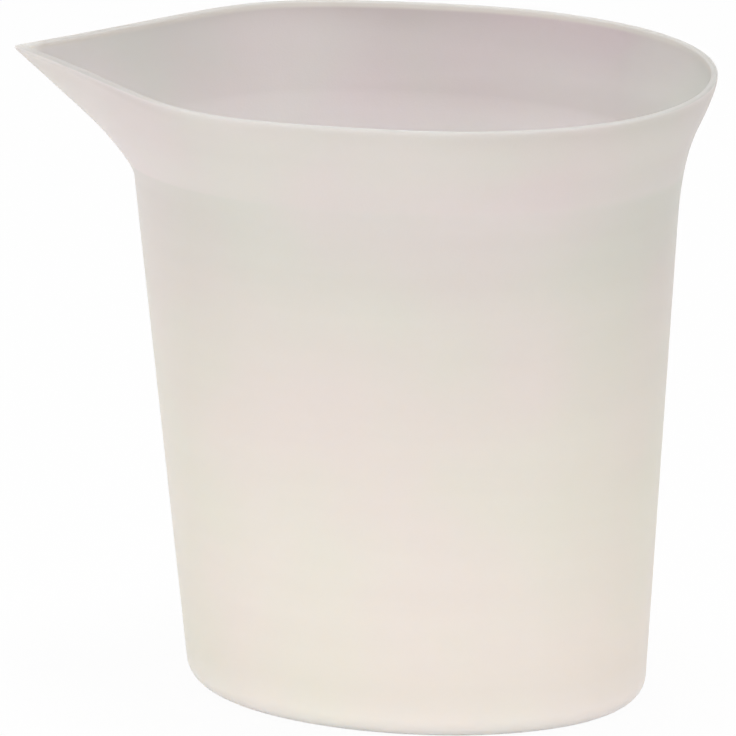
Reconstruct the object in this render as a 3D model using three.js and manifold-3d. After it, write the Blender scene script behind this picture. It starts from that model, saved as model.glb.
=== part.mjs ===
// A one-piece flexible measuring cup in translucent silicone. An oval, tapered bowl flares at its shoulder
// into a collar, and the rim of the collar is a teardrop drawn out to a pouring tip.
// Millimetres, +Z up, with the spout along -X. The origin is on the table, under the middle of the shoulder.

import * as THREE from 'three';
import { mergeVertices } from 'three/addons/utils/BufferGeometryUtils.js';
import Module from 'manifold-3d';

// The rim's outline, seen from above. A fullness of 0.55 makes the back an oval, and more squares it.
const RIM_HALF_WIDTH = 55.7;
const RIM_BACK_REACH = 57.7;
const RIM_WIDEST_X = 2.1;
const RIM_BACK_FULLNESS = 0.6;
const RIM_SIDE_HANDLE = 45.5;
const SPOUT_REACH = 74.8;
const SPOUT_HALF_ANGLE = THREE.MathUtils.degToRad(50.2);
const SPOUT_HANDLE = 58;
const SPOUT_TIP_RADIUS = 0.9;

// Heights above the table, and the slight fall of the rim towards the spout
const RIM_HEIGHT = 120.1;
const RIM_FALL = THREE.MathUtils.degToRad(0.5);
const SHOULDER_HEIGHT_BACK = 104.7;
const SHOULDER_HEIGHT_FRONT = 99.1;

// The oval bowl, whose foot is set back from the shoulder
const SHOULDER_HALF_LENGTH = 51.8;
const SHOULDER_HALF_WIDTH = 45.6;
const FOOT_HALF_LENGTH = 43.2;
const FOOT_HALF_WIDTH = 37.5;
const FOOT_SET_BACK = 5.6;
const FOOT_ROUNDING = 4.2;

// How far the soft bends reach from their corners, at the back and at the spout, and the largest shares
// of the flare's run that the bends at its foot and at its lip may take
const SHOULDER_BEND_BELOW = { back: 11.9, spout: 1.5 };
const SHOULDER_BEND_ABOVE = { back: 7.6, spout: 3.3 };
const LIP_BEND = { back: 7.4, spout: 0.5 };
const LIP_STRAIGHT = { back: 2.0, spout: 0.3 };
const SHOULDER_BEND_SHARE = 0.5;
const LIP_BEND_SHARE = 0.45;

// Wall thickness, the floor and the edges of the rim
const WALL_AT_FOOT = 1.8;
const WALL_AT_SHOULDER = 1.7;
const WALL_AT_RIM = 1.3;
const WALL_AT_TIP = 2.6;
const FLOOR_THICKNESS = 2.4;
const FLOOR_CORNER_RADIUS = 4;
const RIM_EDGE_RADIUS = 0.45;
const INNER_TIP_RADIUS = 0.6;

// The shallow groove that leaves the underside a foot ring and a centre land
const GROOVE_INSET = 9;
const GROOVE_WIDTH = 2.4;
const GROOVE_DEPTH = 0.5;

// The raised volume marks on the far wall: millilitres on one side of the middle, cups on the other
const MARK_HEIGHT = 0.9;
const MARK_RELIEF = 0.5;
const MARK_ROOT = 0.6;
const MARK_GAP = 5;
const LONG_MARK = 15;
const SHORT_MARK = 9;
const MARK_STEP_ML = 50;
const CUP_ML = 236.6;
const MARK_STEP_CUP = CUP_ML / 4;
const FAR_SIDE = Math.PI / 2;

// How finely the surfaces are divided
const BACK_STEPS = 18;
const SIDE_STEPS = 23;
const TIP_STEPS = 2;
const BEND_STEPS = 6;
const LIP_STEPS = 4;
const CORNER_STEPS = 5;
const MARK_STEPS = 5;
const SLIVER = 0.01;

// A skin is one face of the wall: the outside, or the inside that holds the liquid.
const outside = {
  rimHalfWidth: RIM_HALF_WIDTH,
  rimBack: RIM_BACK_REACH,
  spoutReach: SPOUT_REACH,
  tipRadius: SPOUT_TIP_RADIUS,
  shoulder: new THREE.Vector2(SHOULDER_HALF_LENGTH, SHOULDER_HALF_WIDTH),
  foot: new THREE.Vector2(FOOT_HALF_LENGTH, FOOT_HALF_WIDTH),
  floor: 0,
  corner: FOOT_ROUNDING,
  shoulderLift: { back: 0, spout: 0 },
};

// Where the wall turns out at the shoulder, an even wall puts the inside's corner above the outside's.
const liftAtTurn = (flareReach, flareRise) =>
  WALL_AT_SHOULDER * Math.tan(Math.atan2(flareReach, flareRise) / 2);

const inside = {
  rimHalfWidth: RIM_HALF_WIDTH - WALL_AT_RIM,
  rimBack: RIM_BACK_REACH - WALL_AT_RIM,
  spoutReach: SPOUT_REACH - WALL_AT_TIP,
  tipRadius: INNER_TIP_RADIUS,
  shoulder: outside.shoulder.clone().subScalar(WALL_AT_SHOULDER),
  foot: outside.foot.clone().subScalar(WALL_AT_FOOT),
  floor: FLOOR_THICKNESS,
  corner: FLOOR_CORNER_RADIUS,
  shoulderLift: {
    back: liftAtTurn(RIM_BACK_REACH - SHOULDER_HALF_LENGTH, RIM_HEIGHT - SHOULDER_HEIGHT_BACK),
    spout: liftAtTurn(SPOUT_REACH - SHOULDER_HALF_LENGTH, RIM_HEIGHT - SHOULDER_HEIGHT_FRONT),
  },
};

// Half of the rim's outline, from the middle of the back round to the tip: the full, rounded back, a curve
// that runs straight into the spout, and the small arc of the tip.
function halfRim(skin) {
  const widest = new THREE.Vector2(RIM_WIDEST_X, skin.rimHalfWidth);
  const backDepth = skin.rimBack - RIM_WIDEST_X;
  const back = new THREE.CubicBezierCurve(
    new THREE.Vector2(skin.rimBack, 0),
    new THREE.Vector2(skin.rimBack, skin.rimHalfWidth * RIM_BACK_FULLNESS),
    new THREE.Vector2(RIM_WIDEST_X + backDepth * RIM_BACK_FULLNESS, skin.rimHalfWidth),
    widest);
  const corner = new THREE.Vector2(-skin.spoutReach, 0);
  const alongEdge = new THREE.Vector2(Math.cos(SPOUT_HALF_ANGLE), Math.sin(SPOUT_HALF_ANGLE));
  const tangentRun = skin.tipRadius / Math.tan(SPOUT_HALF_ANGLE);
  const shrink = skin.rimHalfWidth / RIM_HALF_WIDTH;
  const side = new THREE.CubicBezierCurve(
    widest,
    new THREE.Vector2(RIM_WIDEST_X - RIM_SIDE_HANDLE, skin.rimHalfWidth),
    corner.clone().addScaledVector(alongEdge, SPOUT_HANDLE * shrink),
    corner.clone().addScaledVector(alongEdge, tangentRun));
  const tipCentre = -skin.spoutReach + skin.tipRadius / Math.sin(SPOUT_HALF_ANGLE);
  const tip = new THREE.EllipseCurve(
    tipCentre, 0, skin.tipRadius, skin.tipRadius, Math.PI / 2 + SPOUT_HALF_ANGLE, Math.PI);
  return [
    ...back.getSpacedPoints(BACK_STEPS),
    ...side.getSpacedPoints(SIDE_STEPS).slice(1),
    ...tip.getPoints(TIP_STEPS).slice(1),
  ];
}

// The whole outline, once round: the half outline and its mirror image.
function rimOutline(skin) {
  const half = halfRim(skin);
  const mirrored = half.slice(1, -1).reverse().map((point) => new THREE.Vector2(point.x, -point.y));
  return [...half, ...mirrored];
}

// How far forward a heading looks: 0 at the back, 1 at the spout.
const forwardness = (heading) => (1 - Math.cos(heading)) / 2;
const blend = (pair, heading) => THREE.MathUtils.lerp(pair.back, pair.spout, forwardness(heading) ** 2);
const shoulderHeight = (heading) =>
  THREE.MathUtils.lerp(SHOULDER_HEIGHT_BACK, SHOULDER_HEIGHT_FRONT, forwardness(heading));
const straightWallTop = (heading) => shoulderHeight(heading) - blend(SHOULDER_BEND_BELOW, heading);
const rimHeightAt = (x) => RIM_HEIGHT + x * Math.tan(RIM_FALL);

// The oval of the straight wall at a height: its half axes, and its centre's x.
function oval(skin, z) {
  const share = z / SHOULDER_HEIGHT_BACK;
  const axes = skin.foot.clone().lerp(skin.shoulder, share);
  return { axes, centre: FOOT_SET_BACK * (1 - share) };
}

// A point of the straight wall, drawn in towards the middle by an inset.
function wallPoint(skin, heading, z, inset = 0) {
  const { axes, centre } = oval(skin, z);
  const reach = 1 / Math.hypot(Math.cos(heading) / axes.x, Math.sin(heading) / axes.y) - inset;
  return new THREE.Vector3(centre + reach * Math.cos(heading), reach * Math.sin(heading), z);
}

function bend(from, corner, to, steps) {
  return new THREE.QuadraticBezierCurve3(from, corner, to).getPoints(steps);
}

// One upright line of a skin, from the edge of its floor to the rim. The wall bends out at the shoulder,
// runs straight up the flare and bends upright again at the lip.
function meridian(skin, rim) {
  const heading = Math.atan2(rim.y, rim.x);
  const points = [];
  for (let step = 0; step < CORNER_STEPS; step++) {
    const turn = (step / CORNER_STEPS) * (Math.PI / 2);
    const z = skin.floor + skin.corner * (1 - Math.cos(turn));
    points.push(wallPoint(skin, heading, z, skin.corner * (1 - Math.sin(turn))));
  }
  points.push(wallPoint(skin, heading, skin.floor + skin.corner));
  const cornerHeight = shoulderHeight(heading) + blend(skin.shoulderLift, heading);
  const shoulderCorner = wallPoint(skin, heading, cornerHeight);
  const edge = new THREE.Vector3(rim.x, rim.y, rimHeightAt(rim.x) - RIM_EDGE_RADIUS);
  const lipCorner = edge.clone();
  lipCorner.z -= blend(LIP_STRAIGHT, heading);
  const flare = lipCorner.clone().sub(shoulderCorner);
  const run = flare.length();
  flare.normalize();
  const bendAbove = Math.min(blend(SHOULDER_BEND_ABOVE, heading), run * SHOULDER_BEND_SHARE);
  const lipBend = Math.min(blend(LIP_BEND, heading), run * LIP_BEND_SHARE);
  const bendEnd = shoulderCorner.clone().addScaledVector(flare, bendAbove);
  const lipStart = lipCorner.clone().addScaledVector(flare, -lipBend);
  const wallTop = wallPoint(skin, heading, straightWallTop(heading));
  points.push(...bend(wallTop, shoulderCorner, bendEnd, BEND_STEPS));
  points.push(...bend(lipStart, lipCorner, edge, LIP_STEPS));
  return points;
}

const ringsOf = (meridians) => meridians[0].map((unused, level) => meridians.map((line) => line[level]));

// The rounded top of the rim, from its outer edge over to its inner edge.
function rimTop(outerEdge, innerEdge) {
  const turns = [Math.PI / 4, Math.PI / 2];
  const over = (from, to, turn) => from.map((point, index) => {
    const across = to[index].clone().sub(point).setZ(0).normalize();
    return point.clone()
      .addScaledVector(across, RIM_EDGE_RADIUS * (1 - Math.cos(turn)))
      .add(new THREE.Vector3(0, 0, RIM_EDGE_RADIUS * Math.sin(turn)));
  });
  const outer = turns.map((turn) => over(outerEdge, innerEdge, turn));
  const inner = turns.map((turn) => over(innerEdge, outerEdge, turn)).reverse();
  return [...outer, ...inner];
}

// The underside's rings, from the centre land out over the groove to the foot ring.
function undersideRings(footRing) {
  const ringAt = (inset, depth) => footRing.map((point) => {
    const inward = new THREE.Vector3(FOOT_SET_BACK, 0, 0).sub(point).setZ(0).normalize();
    return point.clone().addScaledVector(inward, inset).setZ(depth);
  });
  const outer = GROOVE_INSET;
  const inner = GROOVE_INSET + GROOVE_WIDTH;
  const draft = GROOVE_DEPTH;
  return [
    ringAt(inner, 0),
    ringAt(inner - draft, GROOVE_DEPTH),
    ringAt(outer + draft, GROOVE_DEPTH),
    ringAt(outer, 0),
  ];
}

// A closed surface through rings of equal count, shut at both ends by a fan to a middle point.
function closedSurface(rings, firstMiddle, lastMiddle) {
  const count = rings[0].length;
  const points = [...rings.flat(), firstMiddle, lastMiddle];
  const indices = [];
  for (let level = 0; level < rings.length - 1; level++) {
    for (let place = 0; place < count; place++) {
      const next = (place + 1) % count;
      const [a, b] = [level * count + place, level * count + next];
      indices.push(a, b, a + count, b, b + count, a + count);
    }
  }
  const [first, last] = [points.length - 2, points.length - 1];
  const top = (rings.length - 1) * count;
  for (let place = 0; place < count; place++) {
    const next = (place + 1) % count;
    indices.push(first, next, place, last, top + place, top + next);
  }
  return surface(points, indices);
}

function surface(points, indices) {
  const geometry = new THREE.BufferGeometry().setFromPoints(points);
  geometry.setIndex(indices);
  return geometry;
}

function cupShell() {
  const outer = ringsOf(rimOutline(outside).map((rim) => meridian(outside, rim)));
  const inner = ringsOf(rimOutline(inside).map((rim) => meridian(inside, rim)));
  const rings = [
    ...undersideRings(outer[0]),
    ...outer,
    ...rimTop(outer.at(-1), inner.at(-1)),
    ...inner.reverse(),
  ];
  const underMiddle = new THREE.Vector3(FOOT_SET_BACK, 0, 0);
  const floorMiddle = new THREE.Vector3(oval(inside, FLOOR_THICKNESS).centre, 0, FLOOR_THICKNESS);
  return closedSurface(rings, underMiddle, floorMiddle);
}

// The area of the liquid's surface at a height, with the rounded corner of the floor taken off.
function liquidArea(z) {
  const { axes } = oval(inside, z);
  const below = Math.max(0, inside.corner - (z - inside.floor));
  const inset = inside.corner - Math.sqrt(inside.corner ** 2 - below ** 2);
  return Math.PI * (axes.x - inset) * (axes.y - inset);
}

// The level that a volume in millilitres reaches, summed up in thin slices.
function levelOf(millilitres) {
  const slice = 0.05;
  let level = inside.floor;
  for (let held = 0; held < millilitres * 1000; level += slice) {
    held += liquidArea(level + slice / 2) * slice;
  }
  return level;
}

// A raised mark along the outside of the wall, from one heading on towards another. Its outer face is
// half as high as its root, and its root is sunk into the wall.
function markSolid(level, heading, length, direction) {
  const root = MARK_HEIGHT / 2;
  const face = MARK_HEIGHT / 4;
  const corners = [[MARK_ROOT, -root], [-MARK_RELIEF, -face], [-MARK_RELIEF, face], [MARK_ROOT, root]];
  const radius = wallPoint(outside, heading, level).setZ(0).length();
  const sections = [];
  for (let step = 0; step <= MARK_STEPS; step++) {
    const at = heading + direction * (step / MARK_STEPS) * (length / radius);
    sections.push(corners.map(([inset, rise]) => wallPoint(outside, at, level + rise, inset)));
  }
  if (direction < 0) sections.reverse();
  const middle = (section) => section[0].clone().add(section[1]).add(section[2]).add(section[3])
    .multiplyScalar(1 / section.length);
  return closedSurface(sections, middle(sections[0]), middle(sections.at(-1)));
}

// A column of marks beside the middle of the far side, one for each step of volume, with every second
// mark long. It ends where the next mark would reach the bend of the shoulder.
function markColumn(stepVolume, direction) {
  const marks = [];
  const start = FAR_SIDE + (direction * MARK_GAP) / 2 / SHOULDER_HALF_WIDTH;
  const end = start + (direction * LONG_MARK) / SHOULDER_HALF_WIDTH;
  const ceiling = Math.min(straightWallTop(start), straightWallTop(end)) - MARK_HEIGHT / 2;
  for (let count = 1; levelOf(count * stepVolume) <= ceiling; count++) {
    const length = count % 2 ? SHORT_MARK : LONG_MARK;
    marks.push(markSolid(levelOf(count * stepVolume), start, length, direction));
  }
  return marks;
}

const wasm = await Module();
wasm.setup();

function toSolid(geometry) {
  const merged = mergeVertices(geometry);
  return new wasm.Manifold(new wasm.Mesh({
    numProp: 3,
    vertProperties: Float32Array.from(merged.attributes.position.array),
    triVerts: Uint32Array.from(merged.index.array),
  }));
}

function toGeometry(solid) {
  const mesh = solid.getMesh();
  const geometry = new THREE.BufferGeometry();
  geometry.setAttribute('position', new THREE.BufferAttribute(mesh.vertProperties, 3));
  geometry.setIndex(new THREE.BufferAttribute(mesh.triVerts, 1));
  geometry.computeVertexNormals();
  return geometry;
}

// The marks are moulded with the wall, so they are one solid with it. The slivers that a join leaves
// where a mark's edge passes close to a facet's edge are closed up.
function markedCup() {
  const marks = [...markColumn(MARK_STEP_ML, -1), ...markColumn(MARK_STEP_CUP, 1)];
  const shell = toSolid(cupShell()).setTolerance(SLIVER);
  return marks.reduce((cup, mark) => cup.add(toSolid(mark)), shell);
}

const silicone = new THREE.MeshStandardMaterial({ color: 0xe5ddd4, roughness: 0.55, metalness: 0 });
const cup = new THREE.Mesh(toGeometry(markedCup()), silicone);
cup.name = 'silicone_cup';

const measuringCup = new THREE.Group();
measuringCup.add(cup);

export default measuringCup;
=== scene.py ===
# A flexible silicone measuring cup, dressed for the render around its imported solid.
# Metres, +Z up, with the spout along -X and the cup's foot at z = 0.

import math

import bmesh
import bpy
from mathutils import Matrix, Vector


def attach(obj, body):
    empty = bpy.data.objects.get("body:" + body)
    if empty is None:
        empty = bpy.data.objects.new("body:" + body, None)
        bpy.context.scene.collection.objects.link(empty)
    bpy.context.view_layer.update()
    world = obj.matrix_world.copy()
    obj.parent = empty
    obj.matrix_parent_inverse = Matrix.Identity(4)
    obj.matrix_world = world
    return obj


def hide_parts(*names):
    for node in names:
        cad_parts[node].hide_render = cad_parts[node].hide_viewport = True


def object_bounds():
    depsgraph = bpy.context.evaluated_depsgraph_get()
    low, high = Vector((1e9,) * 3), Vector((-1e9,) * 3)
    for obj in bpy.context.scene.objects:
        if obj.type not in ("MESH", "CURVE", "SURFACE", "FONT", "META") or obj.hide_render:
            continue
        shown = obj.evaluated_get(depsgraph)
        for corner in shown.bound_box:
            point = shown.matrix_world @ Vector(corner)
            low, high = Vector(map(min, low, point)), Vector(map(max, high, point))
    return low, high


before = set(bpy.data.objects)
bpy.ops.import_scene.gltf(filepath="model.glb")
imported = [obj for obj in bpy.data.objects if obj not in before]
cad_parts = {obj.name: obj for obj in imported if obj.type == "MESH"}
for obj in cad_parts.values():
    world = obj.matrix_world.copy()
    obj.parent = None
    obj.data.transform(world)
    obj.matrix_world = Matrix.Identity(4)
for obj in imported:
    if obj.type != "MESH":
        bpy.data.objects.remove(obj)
solid_low, solid_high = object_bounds()

# The cup. One soft moulding of translucent silicone: a tapered oval bowl, a collar that flares out from
# its shoulder, and a rim drawn out to a pouring tip. Node trees loft its outer skin and its inner skin
# from the rim's outline down to the floor, and close them along the top by the rim's rounded edge.
WALL_AT_RIM = 0.0013
WALL_AT_TIP = 0.0026
WALL_AT_SHOULDER = 0.0017
WALL_AT_FOOT = 0.0018
SPOUT_HALF_ANGLE = math.radians(50.2)
SPOUT_TIP_RADIUS = 0.0009
INNER_TIP_RADIUS = 0.0006
RIM_WIDEST_X = 0.0021
RIM_BACK_FULLNESS = 0.6
RIM_SIDE_HANDLE = 0.0455
SPOUT_HANDLE = 0.058
RIM_FALL = math.tan(math.radians(0.5))
rim_half_width = solid_high.y
rim_back_reach = solid_high.x
rim_height = solid_high.z - rim_back_reach * RIM_FALL
spout_reach = -solid_low.x + SPOUT_TIP_RADIUS * (1 / math.sin(SPOUT_HALF_ANGLE) - 1)

SHOULDER_HALF_LENGTH = 0.0518
SHOULDER_HALF_WIDTH = 0.0456
SHOULDER_HEIGHT_BACK = 0.1047
SHOULDER_HEIGHT_SPOUT = 0.0991
FOOT_HALF_LENGTH = 0.0432
FOOT_HALF_WIDTH = 0.0375
FOOT_SET_BACK = 0.0056
FLOOR_THICKNESS = 0.0024
INNER_CORNER_RADIUS = 0.004

COLUMNS = 400
ROWS = 100
EDGE_ROWS = 10
OUTLINE_CUTS = 64
WELD_DISTANCE = 0.00001
DOUBLES_DISTANCE = 0.000002

# Where each zone of a skin ends, as a share of its rows from the middle of the floor up to the rim
LAND_END = 0.06
GROOVE_END = 0.14
FLOOR_END = 0.18
CORNER_END = 0.30
WALL_END = 0.50
SHOULDER_END = 0.68
FLARE_END = 0.80

# A bend takes up at most this share of the flare that it turns into
SHOULDER_BEND_LIMIT = 0.5
LIP_BEND_LIMIT = 0.45

# The colours, warm and pale low down and greyer up to the thin rim: partly the milkier silicone where it
# is thicker, mostly painted light low on the wall and painted shade up the collar. The polished inside is
# greyer and rosier than the outside, most of all high up, as painted shade inside the cup.
FOOT_PAINTED_LIGHT_COLOUR = (0.96, 0.87, 0.835, 1)
LOW_WALL_COLOUR = (0.855, 0.748, 0.675, 1)
HIGH_WALL_COLOUR = (0.609, 0.571, 0.555, 1)
LOW_COLLAR_COLOUR = (0.626, 0.577, 0.566, 1)
HIGH_COLLAR_COLOUR = (0.529, 0.491, 0.485, 1)
INNER_FLOOR_COLOUR = (0.98, 0.93, 0.895, 1)
INNER_WALL_COLOUR = (0.89, 0.845, 0.85, 1)
INNER_BEND_COLOUR = (0.67, 0.623, 0.637, 1)
LOW_FLARE_COLOUR = (0.56, 0.519, 0.532, 1)
HIGH_FLARE_COLOUR = (0.363, 0.331, 0.352, 1)
INNER_SPOUT_COLOUR = (0.84, 0.84, 0.81, 1)
INNER_BACK_COLOUR = (0.69, 0.75, 0.67, 1)
INNER_TIP_COLOUR = (0.72, 0.70, 0.675, 1)
RIM_HIGHLIGHT_COLOUR = (0.50, 0.487, 0.472, 1)
BACK_RIM_HIGHLIGHT_COLOUR = (0.47, 0.465, 0.45, 1)

# Tints that a colour is multiplied by: painted shade where the light that the silicone gathers is weaker
# and painted light where it is stronger, then the silicone's own faint clouds and flow marks
BOWL_END_SHADE_TINT = (0.95, 0.962, 0.952, 1)
OUTER_SPOUT_LIGHT_TINT = (1.09, 1.10, 1.09, 1)
SPOUT_LIP_SHADE_TINT = (0.91, 0.91, 0.91, 1)
RIM_SHADE_TINT = (0.82, 0.82, 0.82, 1)
BACK_COLLAR_SHADE_TINT = (0.935, 0.935, 0.935, 1)
BACK_BEND_LIGHT_TINT = (1.08, 1.08, 1.08, 1)
FAR_LIP_LIGHT_TINT = (1.25, 1.25, 1.24, 1)
GREENISH_TINT = (0.975, 1.025, 0.995, 1)
ROSY_TINT = (1.01, 1.0, 1.01, 1)
DARK_FLOW_TINT = (0.99, 0.99, 0.99, 1)
PALE_FLOW_TINT = (1.01, 1.01, 1.01, 1)

# How much of an end's painted colour is mixed in, and of the rim's painted highlight and the tip's pale
# colour
END_SHARE = 0.25
RIM_HIGHLIGHT_SHARE = 0.9
TIP_SHARE = 0.8
INNER_EDGE_DIMMING = 0.2

# How late each change gathers pace, as the power of its share
WALL_LATENESS = 1.55
FOOT_LATENESS = 3
LIP_LATENESS = 2

# The shoulder's line, a step of painted shading from the wall's colour to the collar's, as a share of the
# outer skin's rows, and how much it falls towards the back
SHOULDER_SHADING_LINE = (0.603, 0.617)
SHOULDER_SHADING_LINE_FALL = 0.55

# The rim's pale strip of painted highlight, below the top of the rim on the outside and on the inside
OUTER_HIGHLIGHT_STRIP = (0.0001, 0.0003)
INNER_HIGHLIGHT_STRIP = (0.0009, 0.0014)

# The heights between which one colour gives way to the next
FOOT_FADE = (0.014, 0.0)
WALL_FADE = (0.0, 0.101)
COLLAR_FADE = (0.100, 0.119)
INNER_FLOOR_FADE = (0.003, 0.020)
INNER_WALL_FADE = (0.088, 0.101)
INNER_BEND_FADE = (0.101, 0.105)
FLARE_FADE = (0.104, rim_height)
BELOW_BEND_FADE = (0.114, 0.104)

# The same along the cup, towards the spout or towards the back
SPOUT_FADE = (-0.010, -0.060)
BACK_FADE = (0.036, 0.054)
TIP_FADE = (-0.0695, -0.0725)
BACK_RIM_HIGHLIGHT_FADE = (0.020, 0.056)
BOWL_END_SHADE_FADES = ((-0.020, -0.042), (0.030, 0.048))
OUTER_SPOUT_LIGHT_FADE = (-0.036, -0.056)
SPOUT_RIM_FADE = (-0.034, -0.052)
BACK_LIP_FADE = (-0.020, 0.020)
BACK_COLLAR_SHADE_FADE = (0.008, 0.032)
BACK_BEND_FADE = (0.008, 0.030)
BACK_TOP_FADE = (0.048, 0.057)

# And across it, towards the far side or the near side
FAR_LIP_FADE = (0.020, 0.045)
NEAR_RIM_FADE = (0.0, -0.003)

# The same up the lip, as a share of a skin's rows
SPOUT_LIP_SHADE_FADE = (FLARE_END, 0.9)

# The grain, and the sizes of the clouds, flow marks and wiped patches as noise scales
GRAIN_SCALE = 2500.0
GRAIN_DEPTH = 0.0001
CLOUD_SCALE = 32.0
CLOUD_EDGES = (0.35, 0.65)
FLOW_STRETCH = (12, 12, 150)
FLOW_EDGES = (0.3, 0.7)
WIPED_SCALE = 60.0
LEAST_ROUGHNESS = 0.42
MOST_ROUGHNESS = 0.58

# How silicone bends, mirrors and scatters light
REFRACTION = 1.41
MIRROR_LEVEL = 0.3
SCATTER_REACH = 0.006
SCATTER_BY_COLOUR = (1.0, 0.9, 0.8)


def rim_outline(name, half_width, back_reach, reach, tip_radius):
    """The rim seen from above, as a closed curve that starts at the middle of the back."""
    along_edge = Vector((math.cos(SPOUT_HALF_ANGLE), math.sin(SPOUT_HALF_ANGLE), 0))
    tip_corner = Vector((-reach, 0, 0))
    tip_point = tip_corner + along_edge * (tip_radius / math.tan(SPOUT_HALF_ANGLE))
    # Handles of this length make the curve a true arc round the tip
    tip_handle = along_edge * (tip_radius * 4 / 3 * math.tan((math.pi / 2 - SPOUT_HALF_ANGLE) / 2))
    spout_handle = tip_corner + along_edge * (SPOUT_HANDLE * half_width / rim_half_width)
    back_depth = back_reach - RIM_WIDEST_X
    widest = Vector((RIM_WIDEST_X, half_width, 0))
    widest_before = widest + Vector((back_depth * RIM_BACK_FULLNESS, 0, 0))
    widest_after = widest - Vector((RIM_SIDE_HANDLE, 0, 0))
    back = Vector((back_reach, 0, 0))
    back_handle = Vector((0, half_width * RIM_BACK_FULLNESS, 0))
    across = Vector((1, -1, 1))
    stops = [
        (back, back - back_handle, back + back_handle),
        (widest, widest_before, widest_after),
        (tip_point, spout_handle, tip_point - tip_handle),
        (tip_point * across, (tip_point - tip_handle) * across, spout_handle * across),
        (widest * across, widest_after * across, widest_before * across),
    ]
    curve = bpy.data.curves.new(name, "CURVE")
    curve.dimensions = "3D"
    curve.resolution_u = OUTLINE_CUTS
    spline = curve.splines.new("BEZIER")
    spline.bezier_points.add(len(stops) - 1)
    spline.use_cyclic_u = True
    for point, (place, handle_before, handle_after) in zip(spline.bezier_points, stops):
        point.handle_left_type = "FREE"
        point.handle_right_type = "FREE"
        point.co = place
        point.handle_left = handle_before
        point.handle_right = handle_after
    outline = bpy.data.objects.new(name, curve)
    bpy.context.scene.collection.objects.link(outline)
    return outline


def new_tree(name, inputs, outputs, kind="GeometryNodeTree"):
    """A node tree whose sockets are given as name: kind of value."""
    tree = bpy.data.node_groups.new(name, kind)
    for title, value_kind in inputs.items():
        tree.interface.new_socket(title, in_out="INPUT", socket_type="NodeSocket" + value_kind)
    for title, value_kind in outputs.items():
        tree.interface.new_socket(title, in_out="OUTPUT", socket_type="NodeSocket" + value_kind)
    return tree, tree.nodes.new("NodeGroupInput").outputs, tree.nodes.new("NodeGroupOutput").inputs


def feed(tree, socket, value):
    """Links a socket to another, or sets it to a plain value."""
    if isinstance(value, bpy.types.NodeSocket):
        tree.links.new(value, socket)
    else:
        socket.default_value = value


def add_node(tree, kind, inputs=None, **settings):
    node = tree.nodes.new(kind)
    for setting, value in settings.items():
        setattr(node, setting, value)
    for title, value in (inputs or {}).items():
        feed(tree, node.inputs[title], value)
    return node


def number(tree, operation, *values):
    """Arithmetic on numbers, such as number(tree, "ADD", a, b)."""
    return add_node(tree, "ShaderNodeMath", dict(enumerate(values)), operation=operation).outputs[0]


def point_sum(tree, *values):
    return add_node(tree, "ShaderNodeVectorMath", dict(enumerate(values)), operation="ADD").outputs[0]


def scaled(tree, vector, factor):
    inputs = {0: vector, "Scale": factor}
    return add_node(tree, "ShaderNodeVectorMath", inputs, operation="SCALE").outputs[0]


def minus(tree, first, second):
    inputs = {0: first, 1: second}
    return add_node(tree, "ShaderNodeVectorMath", inputs, operation="SUBTRACT").outputs[0]


def length_of(tree, vector):
    return add_node(tree, "ShaderNodeVectorMath", {0: vector}, operation="LENGTH").outputs["Value"]


def number_between(tree, share, start, end):
    return add_node(tree, "ShaderNodeMix", {0: share, 2: start, 3: end}, data_type="FLOAT").outputs[0]


def point_between(tree, share, start, end):
    return add_node(tree, "ShaderNodeMix", {0: share, 4: start, 5: end}, data_type="VECTOR").outputs[1]


def point_at(tree, x=0.0, y=0.0, z=0.0):
    return add_node(tree, "ShaderNodeCombineXYZ", {"X": x, "Y": y, "Z": z}).outputs[0]


def parts_of(tree, vector):
    return add_node(tree, "ShaderNodeSeparateXYZ", {0: vector}).outputs


def share_of(tree, value, start, end):
    """How far a value has come from start to end, held between 0 and 1."""
    inputs = {"Value": value, "From Min": start, "From Max": end}
    return add_node(tree, "ShaderNodeMapRange", inputs).outputs["Result"]


def chosen(tree, switch, when_off, when_on):
    inputs = {"Switch": switch, "False": when_off, "True": when_on}
    return add_node(tree, "GeometryNodeSwitch", inputs, input_type="VECTOR").outputs[0]


def bent(tree, share, start, corner, end):
    """A point of the soft bend that leaves a line before its corner and joins the next line after it."""
    first = point_between(tree, share, start, corner)
    second = point_between(tree, share, corner, end)
    return point_between(tree, share, first, second)


# The sizes of the straight wall, which every tree that places something on it takes
oval_wall_sizes = {
    "Foot Half Length": FOOT_HALF_LENGTH,
    "Foot Half Width": FOOT_HALF_WIDTH,
    "Foot Set Back": FOOT_SET_BACK,
    "Shoulder Half Length": SHOULDER_HALF_LENGTH,
    "Shoulder Half Width": SHOULDER_HALF_WIDTH,
    "Wall Height": SHOULDER_HEIGHT_BACK,
}


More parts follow.
